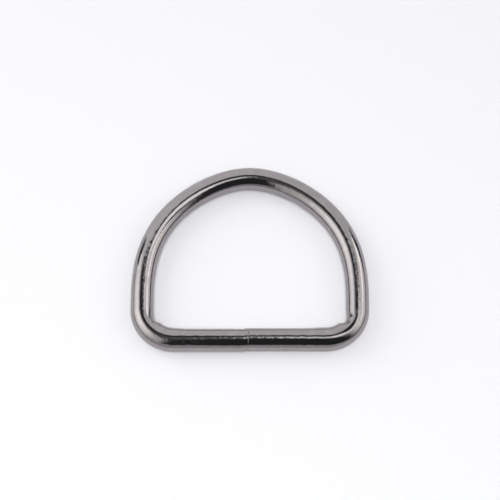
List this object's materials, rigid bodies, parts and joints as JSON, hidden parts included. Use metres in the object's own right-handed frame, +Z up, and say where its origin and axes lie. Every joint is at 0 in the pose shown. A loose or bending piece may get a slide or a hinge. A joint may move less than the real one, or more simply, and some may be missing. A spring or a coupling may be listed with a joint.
{
  "type": "d ring",
  "caption": "D-shaped strap ring bent from round wire, with a straight bar closed by a butt joint and a rounded arch, plated dark grey.",
  "frame": {"origin": "middle of the ring's outer box, on the surface that the ring lies on", "axes": "+X along the straight bar, +Y from the bar to the arch's crown, +Z up, across the wire's thickness"},
  "size_m": [0.0312, 0.0262, 0.003],
  "materials": {
    "gunmetal_plating": "polished black nickel plating, mirror-like, with faint drawn lines and small pits"
  },
  "bodies": {
    "root": {"ring_wire": "gunmetal_plating"}
  },
  "joints": []
}
